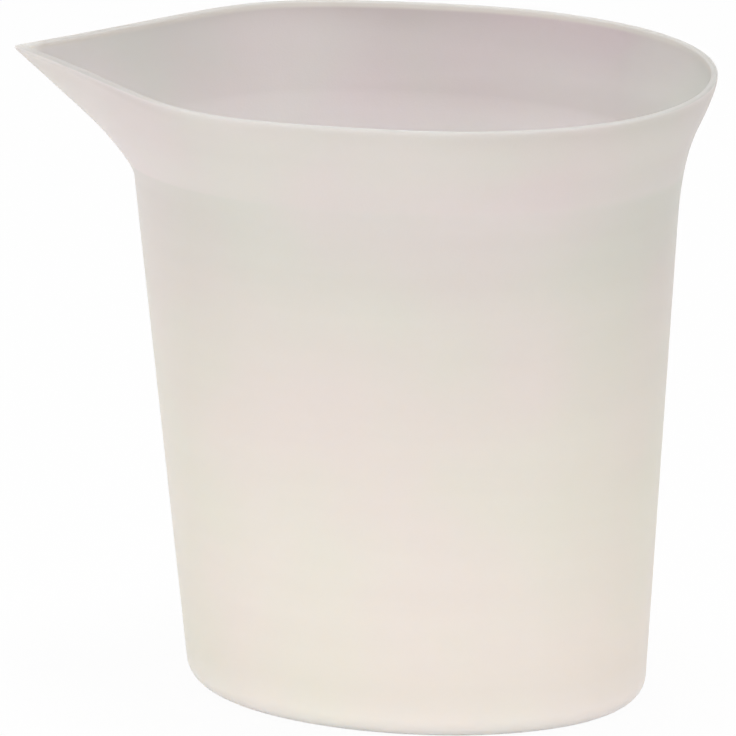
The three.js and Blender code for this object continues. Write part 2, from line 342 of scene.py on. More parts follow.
def oval_wall_tree():
    """The straight wall: the point at a heading and a height, drawn in towards the middle by an inset."""
    sizes = ["Heading", "Height", "Inset", *oval_wall_sizes]
    tree, given, made = new_tree("Oval Wall", dict.fromkeys(sizes, "Float"), {"Point": "Vector"})
    share = number(tree, "DIVIDE", given["Height"], given["Wall Height"])
    half_length = number_between(tree, share, given["Foot Half Length"], given["Shoulder Half Length"])
    half_width = number_between(tree, share, given["Foot Half Width"], given["Shoulder Half Width"])
    along = number(tree, "COSINE", given["Heading"])
    across = number(tree, "SINE", given["Heading"])
    along_share = number(tree, "POWER", number(tree, "DIVIDE", along, half_length), 2)
    across_share = number(tree, "POWER", number(tree, "DIVIDE", across, half_width), 2)
    reach = number(tree, "INVERSE_SQRT", number(tree, "ADD", along_share, across_share))
    reach = number(tree, "SUBTRACT", reach, given["Inset"])
    centre = number(tree, "MULTIPLY", given["Foot Set Back"], number(tree, "SUBTRACT", 1, share))
    x = number(tree, "ADD", centre, number(tree, "MULTIPLY", reach, along))
    y = number(tree, "MULTIPLY", reach, across)
    feed(tree, made["Point"], point_at(tree, x, y, given["Height"]))
    for node in tree.nodes:
        if node.type == "MIX":
            node.clamp_factor = False
    return tree


oval_wall = oval_wall_tree()


def wall_point(tree, given, heading, height, inset=0.0):
    """Places an Oval Wall node that takes its sizes from the tree's own inputs."""
    inputs = {title: given[title] for title in oval_wall_sizes}
    inputs.update({"Heading": heading, "Height": height, "Inset": inset})
    return add_node(tree, "GeometryNodeGroup", inputs, node_tree=oval_wall).outputs["Point"]


# The other sizes of a skin: its rim, the foot's ring and groove, and the bends at the shoulder and the
# lip. What changes round the cup is given at the back and at the spout.
skin_sizes = {
    "Shoulder Height Back": SHOULDER_HEIGHT_BACK,
    "Shoulder Height Spout": SHOULDER_HEIGHT_SPOUT,
    "Lift Back": 0.0,
    "Lift Spout": 0.0,
    "Rim Height": rim_height,
    "Rim Fall": RIM_FALL,
    "Edge Rounding": 0.00045,
    "Floor Height": 0.0,
    "Corner Radius": 0.0042,
    "Groove Inset": 0.009,
    "Groove Width": 0.0024,
    "Groove Depth": 0.0005,
    "Bend Below Back": 0.0119,
    "Bend Below Spout": 0.0015,
    "Bend Above Back": 0.0076,
    "Bend Above Spout": 0.0033,
    "Lip Bend Back": 0.0074,
    "Lip Bend Spout": 0.0005,
    "Lip Straight Back": 0.0020,
    "Lip Straight Spout": 0.0003,
}


def grid_between(tree, rows):
    """A flat grid to be bent into a surface: its shares around and along, and its mesh."""
    inputs = {"Size X": 1, "Size Y": 1, "Vertices X": COLUMNS + 1, "Vertices Y": rows + 1}
    mesh = add_node(tree, "GeometryNodeMeshGrid", inputs).outputs["Mesh"]
    place = parts_of(tree, add_node(tree, "GeometryNodeInputPosition").outputs[0])
    around = number(tree, "ADD", place["X"], 0.5)
    along = number(tree, "ADD", place["Y"], 0.5)
    return mesh, around, along


def on_outline(tree, outline, around):
    inputs = {"Curves": outline, "Factor": around}
    sample = add_node(tree, "GeometryNodeSampleCurve", inputs, mode="FACTOR", use_all_curves=True)
    return sample.outputs["Position"]


def noted(tree, mesh, name, value):
    """Writes a number on each point of a mesh, for the material to read."""
    inputs = {"Geometry": mesh, "Name": name, "Value": value}
    store = add_node(tree, "GeometryNodeStoreNamedAttribute", inputs, data_type="FLOAT")
    return store.outputs["Geometry"]


def edge_of_rim(tree, given, rim):
    """Where a skin ends, just under the rounded edge of the rim, which falls a little to the spout."""
    rim_x = parts_of(tree, rim)["X"]
    rise = number(tree, "MULTIPLY", rim_x, given["Rim Fall"])
    height = number(tree, "ADD", given["Rim Height"], rise)
    height = number(tree, "SUBTRACT", height, given["Edge Rounding"])
    return point_sum(tree, rim, point_at(tree, z=height))


def skin_tree():
    """One face of the wall, from the middle of its floor round the corner and up to the rim."""
    inputs = {"Outline": "Geometry"}
    inputs.update(dict.fromkeys([*oval_wall_sizes, *skin_sizes], "Float"))
    tree, given, made = new_tree("Skin", inputs, {"Mesh": "Geometry"})
    mesh, around, along = grid_between(tree, ROWS)
    rim = on_outline(tree, given["Outline"], around)
    rim_parts = parts_of(tree, rim)
    heading = number(tree, "ARCTAN2", rim_parts["Y"], rim_parts["X"])
    backward = number(tree, "MULTIPLY", number(tree, "COSINE", heading), 0.5)
    forward = number(tree, "SUBTRACT", 0.5, backward)
    towards_spout = number(tree, "POWER", forward, 2)

    def blend(size):
        return number_between(tree, towards_spout, given[size + " Back"], given[size + " Spout"])

    # The rounded corner between the floor and the wall
    bottom = given["Floor Height"]
    corner_top = number(tree, "ADD", bottom, given["Corner Radius"])
    turn = number(tree, "MULTIPLY", share_of(tree, along, FLOOR_END, CORNER_END), math.pi / 2)
    dip = number(tree, "SUBTRACT", 1, number(tree, "COSINE", turn))
    draw_in = number(tree, "SUBTRACT", 1, number(tree, "SINE", turn))
    corner_height = number(tree, "ADD", bottom, number(tree, "MULTIPLY", given["Corner Radius"], dip))
    corner_inset = number(tree, "MULTIPLY", given["Corner Radius"], draw_in)
    corner = wall_point(tree, given, heading, corner_height, corner_inset)

    # The floor, from its middle out to the corner. On the outside a groove parts the land from the ring.
    floor_share = number(tree, "DIVIDE", bottom, given["Wall Height"])
    middle_x = number(tree, "MULTIPLY", given["Foot Set Back"], number(tree, "SUBTRACT", 1, floor_share))
    middle = point_at(tree, middle_x, 0.0, bottom)
    floor_edge = wall_point(tree, given, heading, bottom, given["Corner Radius"])
    inward = minus(tree, middle, floor_edge)
    reach = length_of(tree, inward)
    groove_end = number(tree, "ADD", given["Groove Inset"], given["Groove Width"])
    inset = number_between(tree, share_of(tree, along, 0.0, LAND_END), reach, groove_end)
    across_groove = share_of(tree, along, LAND_END, GROOVE_END)
    inset = number_between(tree, across_groove, inset, given["Groove Inset"])
    inset = number_between(tree, share_of(tree, along, GROOVE_END, FLOOR_END), inset, 0.0)
    inner_draft = number(tree, "SUBTRACT", groove_end, given["Groove Depth"])
    from_inner = share_of(tree, inset, groove_end, inner_draft)
    outer_draft = number(tree, "ADD", given["Groove Inset"], given["Groove Depth"])
    from_outer = share_of(tree, inset, given["Groove Inset"], outer_draft)
    depth_share = number(tree, "MINIMUM", from_inner, from_outer)
    groove = number(tree, "MULTIPLY", depth_share, given["Groove Depth"])
    floor = point_sum(tree, floor_edge, scaled(tree, inward, number(tree, "DIVIDE", inset, reach)))
    floor = point_sum(tree, floor, point_at(tree, z=groove))

    # The straight wall, up to where the shoulder's bend starts
    shoulder_height = number_between(
        tree, forward, given["Shoulder Height Back"], given["Shoulder Height Spout"])
    wall_top = number(tree, "SUBTRACT", shoulder_height, blend("Bend Below"))
    wall_height = number_between(tree, share_of(tree, along, CORNER_END, WALL_END), corner_top, wall_top)
    wall = wall_point(tree, given, heading, wall_height)

    # The bend round the shoulder, the flare, and the bend that brings the lip upright
    shoulder_height = number(tree, "ADD", shoulder_height, blend("Lift"))
    shoulder = wall_point(tree, given, heading, shoulder_height)
    edge = edge_of_rim(tree, given, rim)
    lip_drop = number(tree, "MULTIPLY", blend("Lip Straight"), -1)
    lip = point_sum(tree, edge, point_at(tree, z=lip_drop))
    flare = minus(tree, lip, shoulder)
    run = length_of(tree, flare)
    above_share = number(tree, "DIVIDE", blend("Bend Above"), run)
    above_share = number(tree, "MINIMUM", above_share, SHOULDER_BEND_LIMIT)
    lip_share = number(tree, "DIVIDE", blend("Lip Bend"), run)
    lip_share = number(tree, "MINIMUM", lip_share, LIP_BEND_LIMIT)
    bend_end = point_sum(tree, shoulder, scaled(tree, flare, above_share))
    lip_start = minus(tree, lip, scaled(tree, flare, lip_share))
    top_of_wall = wall_point(tree, given, heading, wall_top)
    round_shoulder = share_of(tree, along, WALL_END, SHOULDER_END)
    shoulder_bend = bent(tree, round_shoulder, top_of_wall, shoulder, bend_end)
    collar = point_between(tree, share_of(tree, along, SHOULDER_END, FLARE_END), bend_end, lip_start)
    lip_bend = bent(tree, share_of(tree, along, FLARE_END, 1.0), lip_start, lip, edge)

    # Row by row, each zone takes over where the one before it ends
    surface = floor
    just_past = 0.1 / ROWS
    for start, zone in [(FLOOR_END, corner), (CORNER_END, wall), (WALL_END, shoulder_bend),
                        (SHOULDER_END, collar), (FLARE_END, lip_bend)]:
        surface = chosen(tree, number(tree, "GREATER_THAN", along, start + just_past), surface, zone)
    mesh = noted(tree, mesh, "along", along)
    placed = add_node(tree, "GeometryNodeSetPosition", {"Geometry": mesh, "Position": surface})
    feed(tree, made["Mesh"], placed.outputs["Geometry"])
    return tree


def rim_edge_tree():
    """The rounded edge along the top of the rim, from the outer skin over to the inner one."""
    inputs = {"Outer Outline": "Geometry", "Inner Outline": "Geometry", "Rim Height": "Float",
              "Rim Fall": "Float", "Edge Rounding": "Float"}
    tree, given, made = new_tree("Rim Edge", inputs, {"Mesh": "Geometry"})
    mesh, around, along = grid_between(tree, EDGE_ROWS)
    outer = edge_of_rim(tree, given, on_outline(tree, given["Outer Outline"], around))
    inner = edge_of_rim(tree, given, on_outline(tree, given["Inner Outline"], around))
    middle = point_between(tree, 0.5, outer, inner)
    turn = number(tree, "MULTIPLY", along, math.pi)
    sideways = scaled(tree, minus(tree, outer, middle), number(tree, "COSINE", turn))
    rise = number(tree, "MULTIPLY", number(tree, "SINE", turn), given["Edge Rounding"])
    surface = point_sum(tree, point_sum(tree, middle, sideways), point_at(tree, z=rise))
    mesh = noted(tree, noted(tree, mesh, "inside", along), "along", 1.0)
    placed = add_node(tree, "GeometryNodeSetPosition", {"Geometry": mesh, "Position": surface})
    feed(tree, made["Mesh"], placed.outputs["Geometry"])
    return tree


def cup_tree():
    """The whole moulding: both skins and the rim's edge, welded into one closed surface."""
    inputs = {"Outer Outline": "Object", "Inner Outline": "Object", "Material": "Material"}
    own_sizes = {**oval_wall_sizes, **skin_sizes, **inner_skin_sizes}
    inputs.update(dict.fromkeys(own_sizes, "Float"))
    tree, given, made = new_tree("Cup", inputs, {"Geometry": "Geometry"})
    outlines = {}
    for side in ("Outer", "Inner"):
        inputs = {"Object": given[side + " Outline"]}
        outlines[side] = add_node(tree, "GeometryNodeObjectInfo", inputs).outputs["Geometry"]
    outer_inputs = {title: given[title] for title in {**oval_wall_sizes, **skin_sizes}}
    inner_inputs = dict(outer_inputs)
    for title in ("Half Length", "Half Width"):
        for level in ("Foot ", "Shoulder "):
            wall = given["Wall At " + level.strip()]
            inner_inputs[level + title] = number(tree, "SUBTRACT", given[level + title], wall)
    for title in ("Floor Height", "Corner Radius", "Lift Back", "Lift Spout", "Groove Depth"):
        inner_inputs[title] = given["Inner " + title]
    skin = skin_tree()
    outer_inputs["Outline"] = outlines["Outer"]
    inner_inputs["Outline"] = outlines["Inner"]
    outer_skin = add_node(tree, "GeometryNodeGroup", outer_inputs, node_tree=skin).outputs["Mesh"]
    inner_skin = add_node(tree, "GeometryNodeGroup", inner_inputs, node_tree=skin).outputs["Mesh"]
    edge_inputs = {title: given[title] for title in ("Rim Height", "Rim Fall", "Edge Rounding")}
    edge_inputs.update({"Outer Outline": outlines["Outer"], "Inner Outline": outlines["Inner"]})
    edge = add_node(tree, "GeometryNodeGroup", edge_inputs, node_tree=rim_edge_tree()).outputs["Mesh"]
    joined = add_node(tree, "GeometryNodeJoinGeometry")
    for part in (noted(tree, outer_skin, "inside", 0.0), noted(tree, inner_skin, "inside", 1.0), edge):
        tree.links.new(part, joined.inputs["Geometry"])
    weld = {"Geometry": joined.outputs[0], "Distance": WELD_DISTANCE}
    welded = add_node(tree, "GeometryNodeMergeByDistance", weld).outputs["Geometry"]
    smooth = add_node(tree, "GeometryNodeSetShadeSmooth", {"Geometry": welded}).outputs["Geometry"]
    real = add_node(tree, "GeometryNodeRealizeInstances", {"Geometry": smooth}).outputs["Geometry"]
    coated = add_node(tree, "GeometryNodeSetMaterial", {"Geometry": real, "Material": given["Material"]})
    feed(tree, made["Geometry"], coated.outputs["Geometry"])
    return tree


def lift_at_turn(reach, rise):
    """How far the inside's corner lies above the outside's, where an even wall turns out."""
    return WALL_AT_SHOULDER * math.tan(math.atan2(reach, rise) / 2)


inner_skin_sizes = {
    "Wall At Foot": WALL_AT_FOOT,
    "Wall At Shoulder": WALL_AT_SHOULDER,
    "Inner Floor Height": FLOOR_THICKNESS,
    "Inner Corner Radius": INNER_CORNER_RADIUS,
    "Inner Groove Depth": 0.0,
    "Inner Lift Back": lift_at_turn(
        rim_back_reach - SHOULDER_HALF_LENGTH, rim_height - SHOULDER_HEIGHT_BACK),
    "Inner Lift Spout": lift_at_turn(
        spout_reach - SHOULDER_HALF_LENGTH, rim_height - SHOULDER_HEIGHT_SPOUT),
}


def shape_from(name, start_mesh, tree, values):
    """Runs a node tree on a mesh with the given input values, and returns the result as a plain mesh."""
    draft = bpy.data.objects.new(name + "_draft", start_mesh)
    bpy.context.scene.collection.objects.link(draft)
    modifier = draft.modifiers.new("shape", "NODES")
    modifier.node_group = tree
    for item in tree.interface.items_tree:
        if item.in_out == "INPUT" and item.name in values:
            modifier[item.identifier] = values[item.name]
    bpy.context.view_layer.update()
    graph = bpy.context.evaluated_depsgraph_get()
    mesh = bpy.data.meshes.new_from_object(draft.evaluated_get(graph), depsgraph=graph)
    draft.modifiers.remove(modifier)
    bpy.data.objects.remove(draft)
    mesh.name = name
    return mesh


def finished_piece(name, mesh):
    """A piece at the origin that rides on the cup's only body and takes the silicone's finish."""
    shaped = bmesh.new()
    shaped.from_mesh(mesh)
    bmesh.ops.remove_doubles(shaped, verts=shaped.verts, dist=DOUBLES_DISTANCE)
    bmesh.ops.recalc_face_normals(shaped, faces=shaped.faces)
    shaped.to_mesh(mesh)
    shaped.free()
    piece = bpy.data.objects.new(name, mesh)
    bpy.context.scene.collection.objects.link(piece)
    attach(piece, "root")
    return piece


def colour_between(tree, share, start, end):
    return add_node(tree, "ShaderNodeMix", {0: share, 6: start, 7: end}, data_type="RGBA").outputs[2]


def tinted(tree, colour, tint, *shares):
    """A colour times a tint, as far as all the shares allow."""
    share = 1.0
    for factor in shares:
        share = number(tree, "MULTIPLY", share, factor)
    inputs = {0: share, 6: colour, 7: tint}
    return add_node(tree, "ShaderNodeMix", inputs, data_type="RGBA", blend_type="MULTIPLY").outputs[2]


def noise(tree, place, scale, detail=2.0):
    inputs = {"Vector": place, "Scale": scale, "Detail": detail}
    return add_node(tree, "ShaderNodeTexNoise", inputs).outputs[0]


def silicone_look_tree():
    """Colour, roughness and grain of the milky moulding, from the place on the cup and its two faces. The
    colour carries painted light and shade.
    """
    tree, given, made = new_tree("Milky Silicone Look", {"Polish": "Float"},
                                 {"Colour": "Color", "Roughness": "Float", "Grain": "Float"},
                                 "ShaderNodeTree")
    place = add_node(tree, "ShaderNodeTexCoord").outputs["Object"]
    parts = parts_of(tree, place)
    inside = add_node(tree, "ShaderNodeAttribute", attribute_name="inside").outputs["Fac"]
    along = add_node(tree, "ShaderNodeAttribute", attribute_name="along").outputs["Fac"]

    def at_height(fade):
        return share_of(tree, parts["Z"], *fade)

    def lengthwise(fade):
        return share_of(tree, parts["X"], *fade)

    def crosswise(fade):
        return share_of(tree, parts["Y"], *fade)

    # The outer wall, with painted shade at both ends of the bowl and painted light paling it into the
    # foot
    # Paler low on the wall and greyer up it: partly the silicone's own tone, mostly painted light low
    # down.
    up_the_wall = number(tree, "POWER", at_height(WALL_FADE), WALL_LATENESS)
    wall = colour_between(tree, up_the_wall, LOW_WALL_COLOUR, HIGH_WALL_COLOUR)
    for fade in BOWL_END_SHADE_FADES:
        wall = tinted(tree, wall, BOWL_END_SHADE_TINT, lengthwise(fade))
    # Painted light: the lowest part of the wall and the foot's corner pale towards white, against the
    # shade where the cup meets the floor.
    painted_foot_light = number(tree, "POWER", at_height(FOOT_FADE), FOOT_LATENESS)
    wall = colour_between(tree, painted_foot_light, wall, FOOT_PAINTED_LIGHT_COLOUR)

    # The collar. A faint step of painted shading shows where the shoulder turns into it, a little lower
    # towards the back.
    up_the_collar = at_height(COLLAR_FADE)
    # Painted shade: the collar darkens up towards the rim, and more so towards the back.
    collar = colour_between(tree, up_the_collar, LOW_COLLAR_COLOUR, HIGH_COLLAR_COLOUR)
    collar = tinted(tree, collar, BACK_COLLAR_SHADE_TINT, up_the_collar, lengthwise(BACK_COLLAR_SHADE_FADE))
    turned_out = number(tree, "MULTIPLY_ADD", parts["X"], SHOULDER_SHADING_LINE_FALL, along)
    outer = colour_between(tree, share_of(tree, turned_out, *SHOULDER_SHADING_LINE), wall, collar)
    at_spout = lengthwise(SPOUT_RIM_FADE)
    # Painted light on the outside towards the spout, and painted shade on the spout's upright lip against
    # the light that it catches.
    outer = tinted(tree, outer, OUTER_SPOUT_LIGHT_TINT, lengthwise(OUTER_SPOUT_LIGHT_FADE))
    outer = tinted(tree, outer, SPOUT_LIP_SHADE_TINT, share_of(tree, along, *SPOUT_LIP_SHADE_FADE), at_spout)

    # The inside, darkened up its walls and flare as painted shade and paled on its floor as painted
    # light, with paler colours painted at the two ends, greenish grey at the back, and painted light at
    # the back of the bend and the far lip
    low = colour_between(tree, at_height(INNER_FLOOR_FADE), INNER_FLOOR_COLOUR, INNER_WALL_COLOUR)
    low = colour_between(tree, at_height(INNER_WALL_FADE), low, INNER_BEND_COLOUR)
    flare = colour_between(tree, at_height(FLARE_FADE), LOW_FLARE_COLOUR, HIGH_FLARE_COLOUR)
    inner = colour_between(tree, at_height(INNER_BEND_FADE), low, flare)
    # Painted light: a paler colour at the spout's end and a paler greenish grey at the back, against the
    # inside's painted shade.
    for fade, end_colour in ((SPOUT_FADE, INNER_SPOUT_COLOUR), (BACK_FADE, INNER_BACK_COLOUR)):
        at_end = number(tree, "MULTIPLY", lengthwise(fade), END_SHARE)
        inner = colour_between(tree, at_end, inner, end_colour)
    # Painted light on the far side's lip towards the back, and below the bend at the back.
    up_the_lip = number(tree, "POWER", share_of(tree, along, FLARE_END, 1.0), LIP_LATENESS)
    at_far_lip = crosswise(FAR_LIP_FADE)
    inner = tinted(tree, inner, FAR_LIP_LIGHT_TINT, up_the_lip, lengthwise(BACK_LIP_FADE), at_far_lip)
    inner = tinted(tree, inner, BACK_BEND_LIGHT_TINT, at_height(BELOW_BEND_FADE), lengthwise(BACK_BEND_FADE))
    colour = colour_between(tree, inside, outer, inner)

    # Faint clouds between rosy and greenish, and level flow marks
    clouds = share_of(tree, noise(tree, place, CLOUD_SCALE), *CLOUD_EDGES)
    colour = tinted(tree, colour, colour_between(tree, clouds, GREENISH_TINT, ROSY_TINT))
    stretched = add_node(tree, "ShaderNodeMapping", {"Vector": place, "Scale": FLOW_STRETCH}).outputs[0]
    flow = share_of(tree, noise(tree, stretched, 1.0), *FLOW_EDGES)
    colour = tinted(tree, colour, colour_between(tree, flow, DARK_FLOW_TINT, PALE_FLOW_TINT))

    # The rim's top gathers light, and so does a narrow strip below it, wider on the inside: a painted
    # highlight. Its outer half is dimmed by painted shade on the spout's near side and at the very back.
    rim_plane = number(tree, "MULTIPLY_ADD", parts["X"], RIM_FALL, rim_height)
    below_rim = number(tree, "SUBTRACT", rim_plane, parts["Z"])
    strip = [number_between(tree, inside, *edges) for edges in zip(OUTER_HIGHLIGHT_STRIP, INNER_HIGHLIGHT_STRIP)]
    on_rim_highlight = number(tree, "SUBTRACT", 1, share_of(tree, below_rim, *strip))
    rim = colour_between(tree, lengthwise(BACK_RIM_HIGHLIGHT_FADE), RIM_HIGHLIGHT_COLOUR, BACK_RIM_HIGHLIGHT_COLOUR)
    near_spout = number(tree, "MULTIPLY", at_spout, crosswise(NEAR_RIM_FADE))
    rim_shade_share = number(tree, "MAXIMUM", near_spout, lengthwise(BACK_TOP_FADE))
    rim = tinted(tree, rim, RIM_SHADE_TINT, rim_shade_share, number_between(tree, inside, 1.0, INNER_EDGE_DIMMING))
    colour = colour_between(tree, number(tree, "MULTIPLY", on_rim_highlight, RIM_HIGHLIGHT_SHARE), colour, rim)

    # The tip is thick, so the end of the inside is paler: partly the milkier thick silicone, partly
    # painted light that keeps the inside's painted shade back from the tip.
    inside_tip = number(tree, "MULTIPLY", lengthwise(TIP_FADE), inside)
    pale_tip_share = number(tree, "MULTIPLY", inside_tip, TIP_SHARE)
    feed(tree, made["Colour"], colour_between(tree, pale_tip_share, colour, INNER_TIP_COLOUR))

    # A fine moulded grain, and broad patches that handling has wiped smoother
    feed(tree, made["Grain"], noise(tree, place, GRAIN_SCALE, detail=4.0))
    wiped = noise(tree, place, WIPED_SCALE, detail=3.0)
    roughness = number_between(tree, wiped, LEAST_ROUGHNESS, MOST_ROUGHNESS)
    feed(tree, made["Roughness"], number(tree, "SUBTRACT", roughness, given["Polish"]))
    return tree


def silicone_material(name, look, depth, grain_strength, polish):
    """Milky translucent silicone: a satin skin over a body that lets soft light through."""
    material = bpy.data.materials.new(name)
    material.use_nodes = True
    tree = material.node_tree
    tree.nodes.clear()
    finish = add_node(tree, "ShaderNodeGroup", {"Polish": polish}, node_tree=look).outputs
    bump_inputs = {"Strength": grain_strength, "Distance": GRAIN_DEPTH, "Height": finish["Grain"]}
    bump = add_node(tree, "ShaderNodeBump", bump_inputs)
    skin_inputs = {
        "Base Color": finish["Colour"],
        "Roughness": finish["Roughness"],
        "Normal": bump.outputs["Normal"],
        "IOR": REFRACTION,
        "Specular IOR Level": MIRROR_LEVEL,
        "Subsurface Weight": depth,
        "Subsurface Radius": SCATTER_BY_COLOUR,
        "Subsurface Scale": SCATTER_REACH,
    }
    skin = add_node(tree, "ShaderNodeBsdfPrincipled", skin_inputs)
    add_node(tree, "ShaderNodeOutputMaterial", {"Surface": skin.outputs["BSDF"]})
    return material


silicone_look = silicone_look_tree()
silicone = silicone_material("milky_silicone", silicone_look, depth=1.0, grain_strength=0.15, polish=0.0)
outer_outline = rim_outline(
    "outer_outline", rim_half_width, rim_back_reach, spout_reach, SPOUT_TIP_RADIUS)
inner_outline = rim_outline(
    "inner_outline", rim_half_width - WALL_AT_RIM, rim_back_reach - WALL_AT_RIM,
    spout_reach - WALL_AT_TIP, INNER_TIP_RADIUS)
cup_values = {**oval_wall_sizes, **skin_sizes, **inner_skin_sizes, "Outer Outline": outer_outline,
              "Inner Outline": inner_outline, "Material": silicone}
cup_mesh = shape_from("moulded_cup", bpy.data.meshes.new("seed"), cup_tree(), cup_values)
cup = finished_piece("moulded_cup", cup_mesh)
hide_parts("silicone_cup")
bpy.data.objects.remove(outer_outline)
bpy.data.objects.remove(inner_outline)

# The volume marks. Level bars moulded with the far wall, half a millimetre proud, millilitres on the
# reader's left and cups on the right. Each stands where its volume comes up to on the inside, every
# second bar is a long one, and the mould's polished grooves leave them smoother than the wall.
MARK_HEIGHT = 0.0009
MARK_RELIEF = 0.0005
MARK_ROOT = 0.0006
MARK_START = 0.0025
LONG_MARK = 0.015
SHORT_MARK = 0.009
BAR_CUTS = {"Vertices X": 9, "Vertices Y": 3, "Vertices Z": 3}
BAR_ROUNDING = 2
CUP_ML = 236.6
ML_STEP = 50
ML_MARKS = 10
CUP_STEP = 0.25
CUP_MARKS = 8
CUBIC_METRES_PER_ML = 1e-6
SLICE_HEIGHT = 0.00005


def level_of(millilitres):
    """The height that a volume of liquid reaches inside, summed up in thin slices."""
    foot = Vector((FOOT_HALF_LENGTH - WALL_AT_FOOT, FOOT_HALF_WIDTH - WALL_AT_FOOT))
    shoulder = Vector((SHOULDER_HALF_LENGTH - WALL_AT_SHOULDER, SHOULDER_HALF_WIDTH - WALL_AT_SHOULDER))
    level = FLOOR_THICKNESS
    held = 0.0
    while held < millilitres * CUBIC_METRES_PER_ML:
        middle = level + SLICE_HEIGHT / 2
        share = middle / SHOULDER_HEIGHT_BACK
        half_length, half_width = foot.lerp(shoulder, share)
        below = max(0.0, FLOOR_THICKNESS + INNER_CORNER_RADIUS - middle)
        inset = INNER_CORNER_RADIUS - math.sqrt(INNER_CORNER_RADIUS ** 2 - below ** 2)
        held += math.pi * (half_length - inset) * (half_width - inset) * SLICE_HEIGHT
        level += SLICE_HEIGHT
    return level


def wrap_tree():
    """Bends a flat layout round the far wall: x runs level along it, y is the height, z stands out."""
    inputs = {"Flat": "Geometry"}
    inputs.update(dict.fromkeys(oval_wall_sizes, "Float"))
    tree, given, made = new_tree("Wrap On Far Wall", inputs, {"Wrapped": "Geometry"})
    place = parts_of(tree, add_node(tree, "GeometryNodeInputPosition").outputs[0])
    share = number(tree, "DIVIDE", place["Y"], given["Wall Height"])
    radius = number_between(tree, share, given["Foot Half Width"], given["Shoulder Half Width"])
    side = number(tree, "SIGN", place["X"])
    start = number(tree, "MULTIPLY", side, MARK_START)
    start_turn = number(tree, "DIVIDE", start, given["Shoulder Half Width"])
    turn = number(tree, "DIVIDE", number(tree, "SUBTRACT", place["X"], start), radius)
    heading = number(tree, "ADD", number(tree, "ADD", start_turn, turn), math.pi / 2)
    inset = number(tree, "MULTIPLY", place["Z"], -1)
    surface = wall_point(tree, given, heading, place["Y"], inset)
    placed = add_node(tree, "GeometryNodeSetPosition", {"Geometry": given["Flat"], "Position": surface})
    feed(tree, made["Wrapped"], placed.outputs["Geometry"])
    return tree


def wrapped(tree, given, flat):
    """Places a Wrap On Far Wall node and gives the geometry its material."""
    inputs = {title: given[title] for title in oval_wall_sizes}
    inputs["Flat"] = flat
    geometry = add_node(tree, "GeometryNodeGroup", inputs, node_tree=wrap_on_wall).outputs["Wrapped"]
    real = add_node(tree, "GeometryNodeRealizeInstances", {"Geometry": geometry}).outputs["Geometry"]
    inputs = {"Geometry": real, "Material": given["Material"]}
    return add_node(tree, "GeometryNodeSetMaterial", inputs).outputs["Geometry"]


def marks_tree():
    """A rounded bar on every point, as long as the length noted on the point."""
    inputs = {"Geometry": "Geometry", "Material": "Material"}
    inputs.update(dict.fromkeys([*oval_wall_sizes, "Bar Height", "Bar Depth"], "Float"))
    tree, given, made = new_tree("Volume Marks", inputs, {"Geometry": "Geometry"})
    block = add_node(tree, "GeometryNodeMeshCube", {"Size": (1, 1, 1), **BAR_CUTS}).outputs["Mesh"]
    inputs = {"Mesh": block, "Level": BAR_ROUNDING}
    bar = add_node(tree, "GeometryNodeSubdivisionSurface", inputs).outputs["Mesh"]
    inputs = {"Name": "length"}
    length = add_node(tree, "GeometryNodeInputNamedAttribute", inputs, data_type="FLOAT").outputs[0]
    size = point_at(tree, length, given["Bar Height"], given["Bar Depth"])
    inputs = {"Points": given["Geometry"], "Instance": bar, "Scale": size}
    bars = add_node(tree, "GeometryNodeInstanceOnPoints", inputs).outputs["Instances"]
    real = add_node(tree, "GeometryNodeRealizeInstances", {"Geometry": bars}).outputs["Geometry"]
    smooth = add_node(tree, "GeometryNodeSetShadeSmooth", {"Geometry": real}).outputs["Geometry"]
    feed(tree, made["Geometry"], wrapped(tree, given, smooth))
    return tree


wrap_on_wall = wrap_tree()
polished_silicone = silicone_material(
    "polished_silicone", silicone_look, depth=0.3, grain_strength=0.05, polish=0.12)
mark_middle = (MARK_RELIEF - MARK_ROOT) / 2
mark_places = []
mark_lengths = []
for side, step_ml, steps in ((-1, ML_STEP, ML_MARKS), (1, CUP_ML * CUP_STEP, CUP_MARKS)):
    for count in range(1, steps + 1):
        length = SHORT_MARK if count % 2 else LONG_MARK
        mark_places.append((side * (MARK_START + length / 2), level_of(count * step_ml), mark_middle))
        mark_lengths.append(length)
mark_points = bpy.data.meshes.new("mark_points")
mark_points.from_pydata(mark_places, [], [])
mark_points.attributes.new("length", "FLOAT", "POINT").data.foreach_set("value", mark_lengths)
mark_values = {**oval_wall_sizes, "Bar Height": MARK_HEIGHT, "Bar Depth": MARK_RELIEF + MARK_ROOT,
               "Material": polished_silicone}
mark_mesh = shape_from("volume_marks", mark_points, marks_tree(), mark_values)
finished_piece("volume_marks", mark_mesh)

# The numbers. Plain raised figures beside the long marks, moulded with the same wall and in the same
# silicone, 0.4 mm proud with softened edges. The top ones say which side counts millilitres and which
# counts cups.
FIGURE_SIZE = 0.0055
FIGURE_RELIEF = 0.0004
FIGURE_EDGE = 0.00008
FIGURE_GAP = 0.002
FIGURE_START = MARK_START + LONG_MARK + FIGURE_GAP
FIGURE_CUTS = 4


